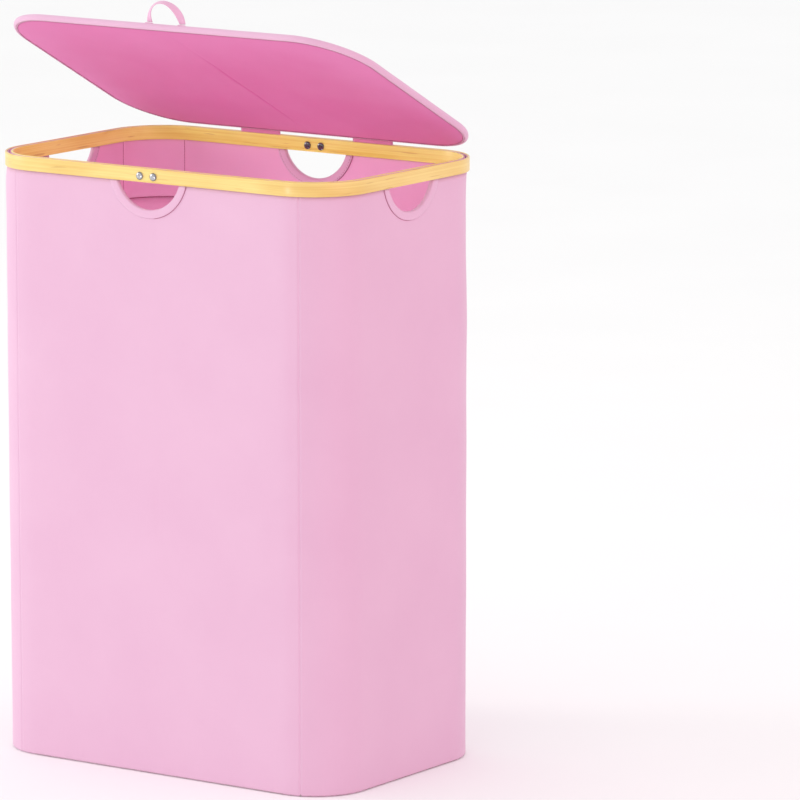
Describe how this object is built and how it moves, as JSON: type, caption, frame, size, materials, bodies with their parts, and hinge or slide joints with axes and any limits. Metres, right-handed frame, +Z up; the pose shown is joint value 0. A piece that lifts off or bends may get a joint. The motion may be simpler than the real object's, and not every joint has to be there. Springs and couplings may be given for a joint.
{
  "type": "laundry hamper with lid",
  "caption": "Free-standing rounded rectangular fabric laundry hamper with a bamboo hoop rim, cut-out hand grips and a fabric-hinged lid with a pull loop.",
  "frame": {"origin": "centre of the base on the floor", "axes": "+Z up, +X along the wide front, +Y towards the hinge side; the wide front faces -Y"},
  "size_m": [0.456, 0.3014, 0.8147],
  "materials": {
    "canvas": "matt woven polyester, pale pink",
    "lining": "matt woven polyester, deeper pink",
    "bamboo": "satin clear-coated bamboo strip",
    "greyboard": "raw pressed board, hidden",
    "post_steel": "polished nickel plate",
    "screw_steel": "blackened steel",
    "webbing": "woven tape, pale pink"
  },
  "bodies": {
    "body": {"base_board": "greyboard", "bottom_panel": "canvas", "canvas_back": "canvas", "canvas_front": "canvas", "canvas_left": "canvas", "canvas_right": "canvas", "handle_binding_back": "canvas", "handle_binding_front": "canvas", "handle_binding_left": "canvas", "handle_binding_right": "canvas", "hinge_strap_left": "webbing", "hinge_strap_right": "webbing", "lining_facing": "lining", "lining_floor": "lining", "lining_wall": "lining", "post_back_left": "post_steel", "post_back_right": "post_steel", "post_front_left": "post_steel", "post_front_right": "post_steel", "rim_inner": "bamboo", "rim_outer": "bamboo", "screw_back_left": "screw_steel", "screw_back_right": "screw_steel", "screw_front_left": "screw_steel", "screw_front_right": "screw_steel", "wall_board_back": "greyboard", "wall_board_front": "greyboard", "wall_board_left": "greyboard", "wall_board_right": "greyboard"},
    "lid": {"hinge_leaf_left": "webbing", "hinge_leaf_right": "webbing", "lid_board_left": "greyboard", "lid_board_right": "greyboard", "lid_cover": "canvas", "lid_lining": "lining", "loop_tab_left": "webbing", "loop_tab_right": "webbing"},
    "loop": {"pull_loop": "webbing"}
  },
  "joints": [
    {"name": "lid_hinge", "type": "hinge", "parent": "body", "child": "lid", "pos_m": [0, 0.14455, 0.6455], "axis": [-1, 0, 0], "range_deg": [-27.4, 119]},
    {"name": "pull_loop_swing", "type": "hinge", "parent": "lid", "child": "loop", "pos_m": [0, -0.12201, 0.78992], "axis": [1, 0, 0], "range_deg": [-104, 16]}
  ]
}
